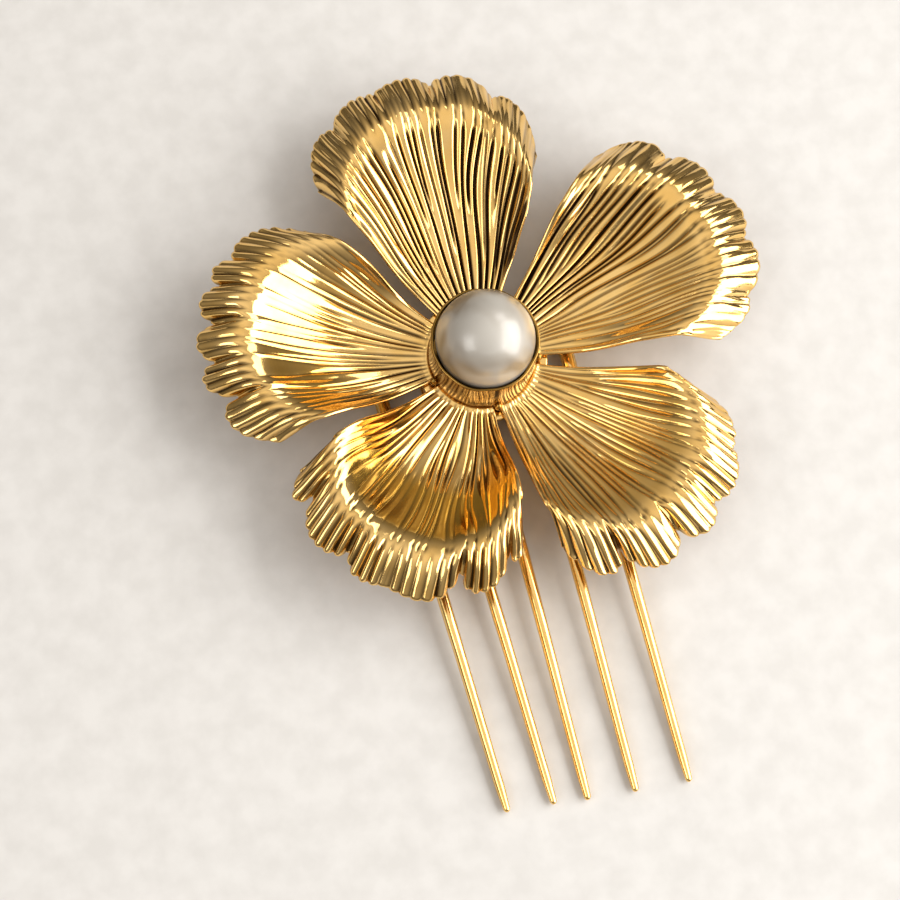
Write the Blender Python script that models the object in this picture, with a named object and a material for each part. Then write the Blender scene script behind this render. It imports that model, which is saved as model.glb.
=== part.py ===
"""Flower hair comb: five pleated metal petals round a pearl in a bezel cup, on a five-tooth comb.

Run with: blender --background --python part.py

Frame, in metres. The comb lies flat with its flower facing up.
  origin  centre of the comb spine's flat back face
  +X      along the spine
  +Y      away from the teeth, towards the top petal
  +Z      out of the flower's face; the back of the comb is the plane z = 0
"""

import math

import bmesh
import bpy
from mathutils import Matrix

MM = 0.001
GAP = 0.3 * MM  # kept between neighbours that are brazed or glued together

# Comb: a flat spine with five tapered round teeth brazed into sockets in its lower edge.
SPINE_LENGTH = 25.6 * MM
SPINE_WIDTH = 4.0 * MM
SPINE_THICKNESS = 2.0 * MM
SPINE_BEVEL = 0.35 * MM
TOOTH_COUNT = 5
TOOTH_PITCH = 5.85 * MM
TOOTH_LENGTH = 53.3 * MM  # the first tooth; each next one is longer by TOOTH_LENGTH_STEP
TOOTH_LENGTH_STEP = 0.55 * MM
TOOTH_TIP_SHIFT = (1.0 * MM, 0.6 * MM, -1.3 * MM, -1.5 * MM, -1.0 * MM)  # hand-set lean of each tip
TOOTH_ROOT_RADIUS = 0.92 * MM
TOOTH_TIP_RADIUS = 0.55 * MM
TOOTH_BOW = 1.1 * MM  # rise of the tooth's middle over the line from root to tip
TOOTH_SIDES = 12
TOOTH_TAPER_STEPS = 9
TOOTH_CAP_STEPS = 3
TOOTH_CAP_END = 0.35  # of a step, kept back so that the tip ends in a small flat
TENON_RADIUS = 0.4 * MM
TENON_LENGTH = 1.4 * MM
SOCKET_RADIUS = TENON_RADIUS + GAP
SOCKET_DEPTH = TENON_LENGTH + GAP
SOCKET_SIDES = 12

# Flower axis, measured from the middle of the spine.
FLOWER_X = 1.2 * MM
FLOWER_Y = -2.5 * MM

# Backing disc, brazed across the spine; it carries the cup and the petal roots.
DISC_RADIUS = 8.0 * MM
DISC_THICKNESS = 0.8 * MM
DISC_BOTTOM = SPINE_THICKNESS + GAP
DISC_CHAMFER = 0.2 * MM
DISC_STEPS = 40

# Peg that the pearl is glued on, and the bezel cup round the pearl.
PEG_RADIUS = 0.6 * MM
PEG_HOLE_RADIUS = PEG_RADIUS + GAP
PEG_LENGTH = 7.2 * MM
PEG_CHAMFER = 0.2 * MM
PEG_STEPS = 12
PEARL_RADIUS = 5.95 * MM
PEARL_HOLE_DEPTH = 6.0 * MM
PEARL_STEPS = 30
PEARL_ARC_STEPS = 15
CUP_BOTTOM = DISC_BOTTOM + DISC_THICKNESS + GAP
CUP_OUTER_RADIUS = 6.5 * MM
CUP_WALL = 0.3 * MM
CUP_FLOOR = 0.4 * MM
CUP_HEIGHT = 6.6 * MM
CUP_CORNER = 0.35 * MM
CUP_STEPS = 40
PEARL_CENTRE_Z = CUP_BOTTOM + CUP_FLOOR + GAP + PEARL_RADIUS

# Petals: stamped sheet, a spoon-shaped bowl that steepens up to a crest, and a rim that curls down
# outside it. Angles are in degrees, clockwise from +Y as seen from the face. A petal's left side is
# its anticlockwise one, where across is -1. Drop, corner and side are for the left and the right: the
# share of the radius lost at the side, the rounding of the corner, and how much a side edge is
# raised, against 1 for the outer edge. Rise scales the height of the bowl. A notch is where two lobes
# of the outer edge meet: its place across the petal and its depth in millimetres.
PETALS = (
    {"name": "petal_top", "axis": 0.5, "left": 30.0, "right": 30.0, "radius": 35.7 * MM,
     "drop": (0.15, 0.225), "corner": (2.2 * MM, 1.8 * MM), "side": (0.6, 0.6), "rise": 1.0,
     "notches": ((-0.61, 1.1), (-0.25, 0.5), (0.14, 1.3), (0.58, 1.4))},
    {"name": "petal_upper_right", "axis": 74.0, "left": 29.5, "right": 27.5, "radius": 36.4 * MM,
     "drop": (0.155, 0.19), "corner": (2.0 * MM, 0.8 * MM), "side": (0.6, 0.6), "rise": 0.85,
     "notches": ((-0.56, 1.5), (-0.15, 1.1), (0.24, 1.1), (0.68, 1.0))},
    {"name": "petal_lower_right", "axis": 144.0, "left": 30.0, "right": 31.0, "radius": 34.2 * MM,
     "drop": (0.21, 0.185), "corner": (3.2 * MM, 1.8 * MM), "side": (0.35, 0.6), "rise": 0.85,
     "notches": ((-0.57, 0.6), (-0.14, 1.4), (0.20, 2.6), (0.62, 3.0))},
    {"name": "petal_lower_left", "axis": 217.0, "left": 32.0, "right": 32.5, "radius": 32.3 * MM,
     "drop": (0.20, 0.125), "corner": (1.5 * MM, 1.5 * MM), "side": (0.6, 0.6), "rise": 1.2,
     "notches": ((-0.87, 2.2), (-0.48, 3.0), (0.01, 0.5), (0.31, 2.0), (0.78, 2.6))},
    {"name": "petal_upper_left", "axis": 289.5, "left": 30.5, "right": 30.0, "radius": 33.9 * MM,
     "drop": (0.155, 0.175), "corner": (1.8 * MM, 2.2 * MM), "side": (0.6, 0.6), "rise": 1.1,
     "notches": ((-0.56, 3.0), (-0.28, 1.8), (-0.01, 2.1), (0.28, 1.6), (0.50, 1.3))},
)
PETAL_ROOT_RADIUS = CUP_OUTER_RADIUS + GAP
PETAL_THICKNESS = 0.45 * MM
PETAL_BOTTOM = CUP_BOTTOM
PETAL_COLUMNS = 32
PETAL_ROWS = 12
DROP_POWER = 2.5
LOBE_POWER = 0.7  # below 1, lobes are blunt and notches are sharp
LOSS_POWER = 5.0  # how quickly the lobes fade out towards the root
CORNER_START = 0.75  # where, across the petal, the rounding of a corner begins
CORNER_POWER = 2.5
SIDE_BULGE = 0.03  # share by which the sides bow outwards half-way along
SIDE_FULL = 0.55  # share of the length by which the sides have risen fully
BOWL_RISE = 5.6 * MM
BOWL_POWER = 2.3
CREST_SHARPNESS = 12.0
ROOT_SLOPE_RISE = 0.8 * MM
RIM_FALL = 3.6 * MM
CREST, RIM_START, RIM_END = 0.76, 0.81, 1.08  # how far out they lie

# Angles between faces, in degrees, above which an edge is shaded sharp.
SHARP_MACHINED = 35.0
SHARP_ROD = 50.0
SHARP_SHEET = 60.0

GOLD = (0.83, 0.58, 0.24)
BRIGHT_GOLD = (0.88, 0.62, 0.26)
NACRE = (0.80, 0.77, 0.71)


def clear_scene():
    for obj in list(bpy.data.objects):
        bpy.data.objects.remove(obj, do_unlink=True)


def make_material(name, colour, metallic, roughness):
    material = bpy.data.materials.new(name)
    material.use_nodes = True
    shader = material.node_tree.nodes["Principled BSDF"]
    shader.inputs["Base Color"].default_value = (*colour, 1.0)
    shader.inputs["Metallic"].default_value = metallic
    shader.inputs["Roughness"].default_value = roughness
    return material


def make_empty(name, location, parent=None):
    empty = bpy.data.objects.new(name, None)
    empty.location = location
    empty.parent = parent
    bpy.context.collection.objects.link(empty)
    return empty


def add_object(name, data, material, parent, location=(0.0, 0.0, 0.0)):
    obj = bpy.data.objects.new(name, data)
    obj.location = location
    obj.parent = parent
    obj.data.materials.append(material)
    bpy.context.collection.objects.link(obj)
    return obj


def mesh_from(bm, name, sharp_degrees):
    bmesh.ops.recalc_face_normals(bm, faces=bm.faces)
    mesh = bpy.data.meshes.new(name)
    bm.to_mesh(mesh)
    bm.free()
    mesh.shade_smooth()
    mesh.set_sharp_from_angle(angle=math.radians(sharp_degrees))
    return mesh


def turned_mesh(name, profile, steps):
    """Spin a closed (radius, z) profile once round Z. Points on the axis weld into poles."""
    bm = bmesh.new()
    points = [bm.verts.new((radius, 0.0, z)) for radius, z in profile]
    edges = [bm.edges.new(pair) for pair in zip(points, points[1:])]
    if profile[0][0] > 0.0:
        edges.append(bm.edges.new((points[-1], points[0])))
    bmesh.ops.spin(
        bm,
        geom=points + edges,
        cent=(0.0, 0.0, 0.0),
        axis=(0.0, 0.0, 1.0),
        angle=math.tau,
        steps=steps,
        use_merge=True,
        use_duplicate=False,
    )
    bmesh.ops.remove_doubles(bm, verts=bm.verts, dist=0.001 * MM)
    return mesh_from(bm, name, SHARP_MACHINED)


def arc(radius, centre_z, start_degrees, end_degrees, steps):
    """Points (r, z) on a circle about the axis, with angles measured up from the equator."""
    points = []
    for step in range(steps + 1):
        angle = math.radians(start_degrees + (end_degrees - start_degrees) * step / steps)
        points.append((radius * math.cos(angle), centre_z + radius * math.sin(angle)))
    return points


def smoothstep(start, end, value):
    t = min(max((value - start) / (end - start), 0.0), 1.0)
    return t * t * (3.0 - 2.0 * t)


def make_spine(material, parent):
    """Flat bar with rounded edges and a row of blind sockets in its lower edge."""
    bm = bmesh.new()
    bmesh.ops.create_cube(bm, size=1.0)
    bmesh.ops.scale(bm, vec=(SPINE_LENGTH, SPINE_WIDTH, SPINE_THICKNESS), verts=bm.verts)
    mesh = mesh_from(bm, "comb_spine", SHARP_MACHINED)
    spine = add_object("comb_spine", mesh, material, parent, (0.0, 0.0, SPINE_THICKNESS / 2))
    bevel = spine.modifiers.new("rounded_edges", "BEVEL")
    bevel.width = SPINE_BEVEL
    bevel.segments = 3
    sockets = make_socket_cutter(spine)
    cut = spine.modifiers.new("tooth_sockets", "BOOLEAN")
    cut.operation = "DIFFERENCE"
    cut.solver = "EXACT"
    cut.object = sockets
    return spine


def tooth_root_x(index):
    return (index - (TOOTH_COUNT - 1) / 2) * TOOTH_PITCH


def make_socket_cutter(spine):
    """One guide mesh with a pin for each socket; it is cut from the spine and left out of the model."""
    bm = bmesh.new()
    length = 2 * SOCKET_DEPTH
    upright = Matrix.Rotation(math.radians(90.0), 3, "X")
    for index in range(TOOTH_COUNT):
        pin = bmesh.ops.create_cone(
            bm,
            cap_ends=True,
            segments=SOCKET_SIDES,
            radius1=SOCKET_RADIUS,
            radius2=SOCKET_RADIUS,
            depth=length,
        )["verts"]
        bmesh.ops.rotate(bm, verts=pin, cent=(0, 0, 0), matrix=upright)
        bmesh.ops.translate(bm, verts=pin, vec=(tooth_root_x(index), -SPINE_WIDTH / 2, 0.0))
    cutter = bpy.data.objects.new("socket_cutter", mesh_from(bm, "socket_cutter", SHARP_MACHINED))
    cutter.parent = spine
    cutter.hide_render = True
    cutter.display_type = "WIRE"
    bpy.context.collection.objects.link(cutter)
    return cutter


def make_tooth(index, material, parent):
    """Tapered round rod with a thin tenon on its root and a rounded tip, slightly bowed."""
    length = TOOTH_LENGTH + index * TOOTH_LENGTH_STEP
    root = (tooth_root_x(index), -SPINE_WIDTH / 2 - GAP, SPINE_THICKNESS / 2)
    tip_z = TOOTH_TIP_RADIUS - root[2]
    stations = [(-TENON_LENGTH, TENON_RADIUS), (0.0, TENON_RADIUS), (0.0, TOOTH_ROOT_RADIUS)]
    straight = length - TOOTH_TIP_RADIUS
    for step in range(1, TOOTH_TAPER_STEPS + 1):
        share = step / TOOTH_TAPER_STEPS
        radius = TOOTH_ROOT_RADIUS + (TOOTH_TIP_RADIUS - TOOTH_ROOT_RADIUS) * share
        stations.append((straight * share, radius))
    for step in range(1, TOOTH_CAP_STEPS + 1):
        angle = math.radians(90.0 * step / (TOOTH_CAP_STEPS + TOOTH_CAP_END))
        along = straight + TOOTH_TIP_RADIUS * math.sin(angle)
        stations.append((along, TOOTH_TIP_RADIUS * math.cos(angle)))

    bm = bmesh.new()
    rings = []
    for along, radius in stations:
        share = max(along, 0.0) / length
        centre_x = TOOTH_TIP_SHIFT[index] * share
        centre_z = tip_z * share + TOOTH_BOW * math.sin(math.pi * share) ** 2
        ring = []
        for side in range(TOOTH_SIDES):
            angle = math.tau * side / TOOTH_SIDES
            x = centre_x + radius * math.cos(angle)
            z = centre_z + radius * math.sin(angle)
            ring.append(bm.verts.new((x, -along, z)))
        rings.append(ring)
    for near, far in zip(rings, rings[1:]):
        for side in range(TOOTH_SIDES):
            after = (side + 1) % TOOTH_SIDES
            bm.faces.new((near[side], near[after], far[after], far[side]))
    bm.faces.new(rings[0])
    bm.faces.new(rings[-1])
    name = f"comb_tooth_{index + 1}"
    return add_object(name, mesh_from(bm, name, SHARP_ROD), material, parent, root)


def make_backing_disc(material, parent):
    top = DISC_BOTTOM + DISC_THICKNESS
    profile = [
        (PEG_HOLE_RADIUS, DISC_BOTTOM),
        (DISC_RADIUS - DISC_CHAMFER, DISC_BOTTOM),
        (DISC_RADIUS, DISC_BOTTOM + DISC_CHAMFER),
        (DISC_RADIUS, top - DISC_CHAMFER),
        (DISC_RADIUS - DISC_CHAMFER, top),
        (PEG_HOLE_RADIUS, top),
    ]
    mesh = turned_mesh("backing_disc", profile, DISC_STEPS)
    return add_object("backing_disc", mesh, material, parent)


def make_peg(material, parent):
    top = DISC_BOTTOM + PEG_LENGTH
    profile = [
        (0.0, DISC_BOTTOM),
        (PEG_RADIUS, DISC_BOTTOM),
        (PEG_RADIUS, top - PEG_CHAMFER),
        (PEG_RADIUS - PEG_CHAMFER, top),
        (0.0, top),
    ]
    return add_object("pearl_peg", turned_mesh("pearl_peg", profile, PEG_STEPS), material, parent)


def make_bezel_cup(material, parent):
    """Thin-walled cup: floor with a hole for the peg, straight wall, rounded rim."""
    inner = CUP_OUTER_RADIUS - CUP_WALL
    rim = CUP_BOTTOM + CUP_HEIGHT
    profile = [
        (PEG_HOLE_RADIUS, CUP_BOTTOM),
        (CUP_OUTER_RADIUS - CUP_CORNER, CUP_BOTTOM),
        (CUP_OUTER_RADIUS, CUP_BOTTOM + CUP_CORNER),
        (CUP_OUTER_RADIUS, rim - CUP_WALL / 3),
        (CUP_OUTER_RADIUS - CUP_WALL / 2, rim),
        (inner, rim - CUP_WALL / 3),
        (inner, CUP_BOTTOM + CUP_FLOOR),
        (PEG_HOLE_RADIUS, CUP_BOTTOM + CUP_FLOOR),
    ]
    return add_object("bezel_cup", turned_mesh("bezel_cup", profile, CUP_STEPS), material, parent)


def make_pearl(material, parent):
    """Round pearl with a blind hole drilled up from its underside."""
    start = -math.degrees(math.acos(PEG_HOLE_RADIUS / PEARL_RADIUS))
    surface = arc(PEARL_RADIUS, PEARL_CENTRE_Z, start, 90.0, PEARL_ARC_STEPS)
    surface[-1] = (0.0, surface[-1][1])
    hole_top = PEARL_CENTRE_Z - PEARL_RADIUS + PEARL_HOLE_DEPTH
    profile = [(0.0, hole_top), (PEG_HOLE_RADIUS, hole_top)] + surface
    return add_object("pearl", turned_mesh("pearl", profile, PEARL_STEPS), material, parent)


def lobe_loss(petal, across):
    """Radius lost to the notches at one place across the petal; it is least in the middle of a lobe."""
    notches = ((-1.0, 0.0), *petal["notches"], (1.0, 0.0))
    for (start, start_depth), (end, end_depth) in zip(notches, notches[1:]):
        if start <= across <= end:
            share = (across - start) / (end - start)
            depth = (start_depth + (end_depth - start_depth) * share) * MM
            return depth * (1.0 - (4.0 * share * (1.0 - share)) ** LOBE_POWER)
    return 0.0


def petal_radius(petal, across, along, hand):
    """Distance from the flower axis: a broad fan whose outer edge is cut into lobes by notches."""
    arc = petal["radius"] * (1.0 - petal["drop"][hand] * abs(across) ** DROP_POWER)
    corner = max(abs(across) - CORNER_START, 0.0) / (1.0 - CORNER_START)
    loss = lobe_loss(petal, across) + petal["corner"][hand] * corner**CORNER_POWER
    return PETAL_ROOT_RADIUS + (arc - PETAL_ROOT_RADIUS) * along - loss * along**LOSS_POWER


def petal_height(petal, across, along, hand):
    """Height of the top face over the petal's root."""
    side = abs(across) * petal["side"][hand] * smoothstep(0.0, SIDE_FULL, along)
    outness = (side**3 + along**3) ** (1.0 / 3.0)
    climb = (outness / CREST) ** BOWL_POWER
    capped = -math.log(math.exp(-CREST_SHARPNESS * climb) + math.exp(-CREST_SHARPNESS)) / CREST_SHARPNESS
    slope = ROOT_SLOPE_RISE * along
    rim = RIM_FALL * smoothstep(RIM_START, RIM_END, outness)
    return slope + BOWL_RISE * petal["rise"] * capped - rim


def petal_point(petal, across, along):
    hand = 0 if across < 0.0 else 1
    radius = petal_radius(petal, across, along, hand)
    half_angle = petal["left"] if across < 0.0 else petal["right"]
    bulge = 1.0 + SIDE_BULGE * math.sin(math.pi * along)
    angle = math.radians(petal["axis"] + half_angle * across * bulge)
    height = PETAL_BOTTOM + PETAL_THICKNESS + petal_height(petal, across, along, hand)
    return (radius * math.sin(angle), radius * math.cos(angle), height)


def make_petal(petal, material, parent):
    """Grid laid out as a fan and lifted to the petal's surface, then thickened downwards."""
    bm = bmesh.new()
    grid = bmesh.ops.create_grid(bm, x_segments=PETAL_COLUMNS, y_segments=PETAL_ROWS, size=1.0)
    for vert in grid["verts"]:
        vert.co = petal_point(petal, vert.co.x, (vert.co.y + 1.0) / 2.0)
    mesh = mesh_from(bm, petal["name"], SHARP_SHEET)
    obj = add_object(petal["name"], mesh, material, parent)
    sheet = obj.modifiers.new("sheet_thickness", "SOLIDIFY")
    sheet.thickness = PETAL_THICKNESS
    sheet.offset = -1.0
    return obj


def main():
    clear_scene()
    petal_gold = make_material("petal_gold", GOLD, 1.0, 0.22)
    comb_gold = make_material("comb_gold", BRIGHT_GOLD, 1.0, 0.15)
    cup_gold = make_material("cup_gold", BRIGHT_GOLD, 1.0, 0.10)
    nacre = make_material("nacre", NACRE, 0.0, 0.18)

    comb = make_empty("comb_frame", (0.0, 0.0, 0.0))
    flower = make_empty("flower_axis", (FLOWER_X, FLOWER_Y, 0.0), comb)

    make_spine(comb_gold, comb)
    for index in range(TOOTH_COUNT):
        make_tooth(index, comb_gold, comb)
    make_backing_disc(comb_gold, flower)
    make_peg(comb_gold, flower)
    make_bezel_cup(cup_gold, flower)
    make_pearl(nacre, flower)
    for petal in PETALS:
        make_petal(petal, petal_gold, flower)


main()
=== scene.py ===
"""Looks of the flower hair comb: pleated gold petals round a pearl in a bezel cup, on a five-tooth comb.

Frame, in metres: +X along the comb's spine, +Y away from the teeth, +Z out of the flower's face.
"""

import math

import bmesh
import bpy
import numpy as np
from mathutils import Matrix, Vector


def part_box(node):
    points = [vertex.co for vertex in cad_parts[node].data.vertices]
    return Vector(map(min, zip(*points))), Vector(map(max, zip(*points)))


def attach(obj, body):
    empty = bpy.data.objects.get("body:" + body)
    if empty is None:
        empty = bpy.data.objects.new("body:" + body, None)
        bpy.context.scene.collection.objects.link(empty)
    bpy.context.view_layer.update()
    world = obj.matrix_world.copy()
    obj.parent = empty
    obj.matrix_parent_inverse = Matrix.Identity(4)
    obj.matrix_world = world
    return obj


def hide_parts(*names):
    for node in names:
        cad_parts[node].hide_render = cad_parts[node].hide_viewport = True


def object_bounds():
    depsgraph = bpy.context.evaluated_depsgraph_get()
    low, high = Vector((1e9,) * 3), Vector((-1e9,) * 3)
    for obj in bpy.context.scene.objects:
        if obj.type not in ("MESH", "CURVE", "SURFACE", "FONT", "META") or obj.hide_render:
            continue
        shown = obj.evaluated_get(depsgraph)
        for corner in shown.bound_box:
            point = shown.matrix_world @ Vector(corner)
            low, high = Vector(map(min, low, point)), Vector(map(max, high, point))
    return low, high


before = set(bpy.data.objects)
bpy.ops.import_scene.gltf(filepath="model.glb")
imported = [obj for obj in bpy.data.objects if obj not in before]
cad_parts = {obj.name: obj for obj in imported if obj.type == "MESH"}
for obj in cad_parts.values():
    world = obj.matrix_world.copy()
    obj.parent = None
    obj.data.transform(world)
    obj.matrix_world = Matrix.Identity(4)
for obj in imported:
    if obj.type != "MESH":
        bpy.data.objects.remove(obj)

CAD_BOX = [list(corner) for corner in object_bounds()]

MM = 0.001

# Positions and sizes that come from the frame.
CUP_LOW, CUP_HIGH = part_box("bezel_cup")
DISC_LOW, DISC_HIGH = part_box("backing_disc")
PEARL_LOW, PEARL_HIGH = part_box("pearl")
SPINE_LOW, SPINE_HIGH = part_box("comb_spine")
FLOWER = Vector(((CUP_LOW.x + CUP_HIGH.x) / 2, (CUP_LOW.y + CUP_HIGH.y) / 2, 0.0))
CUP_RADIUS = (CUP_HIGH.x - CUP_LOW.x) / 2
PEARL_RADIUS = (PEARL_HIGH.x - PEARL_LOW.x) / 2

# Petals. Angles are in degrees, clockwise from +Y as seen from the face. Places across a petal run from
# -1 at its left side, the anticlockwise one, to 1 at its right side. Places along it run from 0 at its
# root to 1 at its outer edge. Pairs are for the left and the right side, and three numbers are for the
# left, the middle and the right, except in calm and notches.
#   axis, left, right: direction of the petal's middle, and the angles from there to its two sides
#   radius: from the flower's axis to the outer edge, in millimetres
#   rise: height of the crest, against BOWL_RISE
#   drop: share of the radius that is lost at a side
#   corner: how much an outer corner is rounded off, in millimetres
#   side: how much a side edge is raised, against 1 for the outer edge
#   notches: between the lobes of the outer edge, each with its place across and its depth in millimetres
#   seed: of the petal's random numbers
#   ribs, rim_ribs: number of main ribs in the bowl, and of ribs on the rim
#   calm: two places along. The bowl's pleats have their full depth at the first, and at the second the
#     share of it that the third number gives
#   pits: how deep the dimples are where grooves meet the crest, and how dark they are painted there, as
#       painted shade
#   pleating, rim_pleating: depth of the pleats in the bowl, and on the rim
#   painted_shade: how dark the grooves are painted, as painted shade
#   shade_band: how wide the painted shade in the bowl's grooves is
#   amber: how much deeper the gold's colour is painted in a band below the crest, as a painted reflection of
#       the gold in itself
PETALS = (
    {
        "name": "petal_top", "axis": 0.5, "left": 30.0, "right": 30.0,
        "radius": 35.7, "rise": 1.0, "drop": (0.15, 0.225), "corner": (2.2, 1.8), "side": (0.6, 0.6),
        "notches": ((-0.61, 1.1), (-0.25, 0.5), (0.14, 1.3), (0.58, 1.4)),
        "seed": 11, "ribs": 14, "rim_ribs": 29, "calm": (0.75, 0.7, 1.0), "pits": 0.6,
        "pleating": (1.0, 1.0, 1.0), "rim_pleating": (1.2, 0.7, 0.25),
        "painted_shade": (1.0, 1.7), "shade_band": (1.0, 1.4, 1.9), "amber": (0.0, 0.0),
    },
    {
        "name": "petal_upper_right", "axis": 74.0, "left": 29.5, "right": 27.5,
        "radius": 36.4, "rise": 0.85, "drop": (0.155, 0.19), "corner": (2.0, 0.8), "side": (0.6, 0.6),
        "notches": ((-0.56, 1.5), (-0.15, 1.1), (0.24, 1.1), (0.68, 1.0)),
        "seed": 26, "ribs": 16, "rim_ribs": 22, "calm": (0.75, 0.7, 0.9), "pits": 0.8,
        "pleating": (1.35, 0.8, 0.65), "rim_pleating": (0.15, 0.7, 0.35),
        "painted_shade": (1.9, 0.2), "shade_band": (1.7, 0.85, 0.7), "amber": (0.0, 0.1),
    },
    {
        "name": "petal_lower_right", "axis": 144.0, "left": 30.0, "right": 31.0,
        "radius": 34.2, "rise": 0.85, "drop": (0.21, 0.185), "corner": (3.2, 1.8), "side": (0.35, 0.6),
        "notches": ((-0.57, 0.6), (-0.14, 1.4), (0.2, 2.6), (0.62, 3.0)),
        "seed": 33, "ribs": 15, "rim_ribs": 27, "calm": (0.6, 0.7, 0.6), "pits": 1.0,
        "pleating": (0.8, 0.8, 0.8), "rim_pleating": (0.5, 0.95, 1.4),
        "painted_shade": (0.6, 1.0), "shade_band": (0.8, 0.8, 1.0), "amber": (0.35, 0.25),
    },
    {
        "name": "petal_lower_left", "axis": 217.0, "left": 32.0, "right": 32.5,
        "radius": 32.3, "rise": 1.2, "drop": (0.2, 0.125), "corner": (1.5, 1.5), "side": (0.6, 0.6),
        "notches": ((-0.87, 2.2), (-0.48, 3.0), (0.01, 0.5), (0.31, 2.0), (0.78, 2.6)),
        "seed": 44, "ribs": 13, "rim_ribs": 27, "calm": (0.36, 0.5, 0.25), "pits": 1.0,
        "pleating": (0.8, 0.8, 0.8), "rim_pleating": (1.5, 1.5, 1.6),
        "painted_shade": (1.0, 1.0), "shade_band": (1.0, 0.9, 0.9), "amber": (0.9, 0.7),
    },
    {
        "name": "petal_upper_left", "axis": 289.5, "left": 30.5, "right": 30.0,
        "radius": 33.9, "rise": 1.1, "drop": (0.155, 0.175), "corner": (1.8, 2.2), "side": (0.6, 0.6),
        "notches": ((-0.56, 3.0), (-0.28, 1.8), (-0.01, 2.1), (0.28, 1.6), (0.5, 1.3)),
        "seed": 55, "ribs": 14, "rim_ribs": 28, "calm": (0.42, 0.55, 0.3), "pits": 0.3,
        "pleating": (0.6, 0.6, 0.6), "rim_pleating": (1.1, 0.9, 0.9),
        "painted_shade": (1.2, 0.8), "shade_band": (1.1, 0.9, 0.9), "amber": (0.7, 0.0),
    },
)

# Sheet. Powers shape the curves, and the crest and the rim are at these measures of outness.
PETAL_ROOT_RADIUS = CUP_RADIUS + 0.12 * MM
PETAL_THICKNESS = 0.45 * MM
PETAL_BOTTOM = CUP_LOW.z
DROP_POWER = 2.5
LOBE_POWER = 0.7
LOSS_POWER = 5.0
CORNER_START = 0.75
CORNER_POWER = 2.5
SIDE_BULGE = 0.03
SIDE_FULL = 0.55  # place along from which a side edge is fully raised
BOWL_RISE = 5.6 * MM
BOWL_POWER = 2.3  # the bowl steepens outwards, up to the crest
CREST_SHARPNESS = 12.0
ROOT_SLOPE_RISE = 0.8 * MM
RIM_FALL = 3.6 * MM
CREST, RIM_START, RIM_END = 0.76, 0.81, 1.08
PETAL_COLUMNS = 400
PETAL_ROWS = 100
EDGE_ROUNDING_STEPS = 3
UNDERSIDE_SHARE = 0.6  # of the relief, on the sheet's underside
UNDERSIDE_CLEARANCE = 0.02 * MM

# Waves: how many sine waves a random function is made of, and the limits of their frequencies.
LINE_WAVES = (5, 0.6, 2.2)
CREST_WAVES = (4, 0.5, 2.0)
DRIFT_WAVES = (5, 0.8, 2.5)
RIM_WAVES = (6, 2.0, 6.0)
DENT_WAVES = (7, 0.5, 1.8)
CUP_WAVES = (6, 0.25, 0.9)
PEARL_WAVES = (6, 0.2, 0.7)
TOOTH_WAVES = (5, 0.5, 3.0)

# Grooves of the bowl. Pairs are the limits of a random choice or of a place along the petal.
PLEAT_WANDER = 0.035  # of the grooves across the petal
PLEAT_DEPTH = 0.42  # of the rounded ribs, against the width of a groove
CREASE_DEPTH = 0.15 * MM  # of the sharp line along the bottom of a groove
CREASE_WIDTH = 0.17 * MM
# Width of the painted shade along the bottom of a groove.
SHADE_BAND_WIDTH = 0.13 * MM
GROOVE_SHIFT = 0.15  # from its even place, against the spacing
MAIN_START, FORK_START = -0.2, (0.08, 0.45)
LONG_SHARE = 0.85  # of the grooves, which run on over the rim
LONG_END, SHORT_END = 1.3, (0.55, 0.95)
GROOVE_SWAY = (0.05, 0.25)  # to either side, against the spacing
SWAY_RATE = (0.6, 1.6)
GROOVE_STRENGTH = (0.55, 1.2)
GROOVE_REACH = (0.30, 0.42)  # to either side, against the spacing
ROOT_REACH, ROOT_REACH_BAND = 0.12, (0.1, 0.5)  # what a groove reaches further near the root
GROWTH_LENGTH, FADE_LENGTH = 0.16, 0.1  # over which a groove deepens and ends
PIT_DEPTH = 0.10 * MM  # of the dimple where a groove meets the crest
PIT_WIDTH = 0.20 * MM
PIT_PLACE, PIT_SHIFT, PIT_LENGTH = 0.785, 0.01, 0.018

# Rim, crest and edge. The places near the crest are measures of outness from it.
RIM_PLEAT_DEPTH = 0.34 * MM
RIM_DRIFT = 0.25
RIM_STRENGTH, RIM_UNEVENNESS, RIM_LIMITS = 0.75, 0.35, (0.35, 1.3)
RIDGE_POWER = 0.75
RIM_GROOVE_WIDTH = 0.42
CREST_WANDER = 0.012
CREST_PLEAT_LOSS = 0.75  # share of the bowl's pleats that doesn't pass the crest
PLEATS_WEAKEN, PLEATS_CHANGE, RIM_PLEATS_FULL, LOBES_SWELL = -0.05, 0.02, 0.10, 0.06
LOBE_SWELL = 0.35 * MM
NICK_DEPTH = 0.35 * MM  # of the edge between two ribs of the rim
NICK_POWER = 14.0
DENT_DEPTH, DENT_BAND = 0.10 * MM, (0.1, 0.4)
ROOT_FADE = (-0.02, 0.06)
ROOT_LIP, ROOT_LIP_LENGTH = 0.16 * MM, 0.02
SIDE_ROLL, SIDE_ROLL_BAND = 0.10 * MM, (0.955, 0.985)
# Where the band of painted reflection below the crest starts, along the petal, and where it ends, in
# outness.
REFLECTION_BAND_START, REFLECTION_BAND_END = (0.36, 0.50), (0.70, 0.76)

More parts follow.
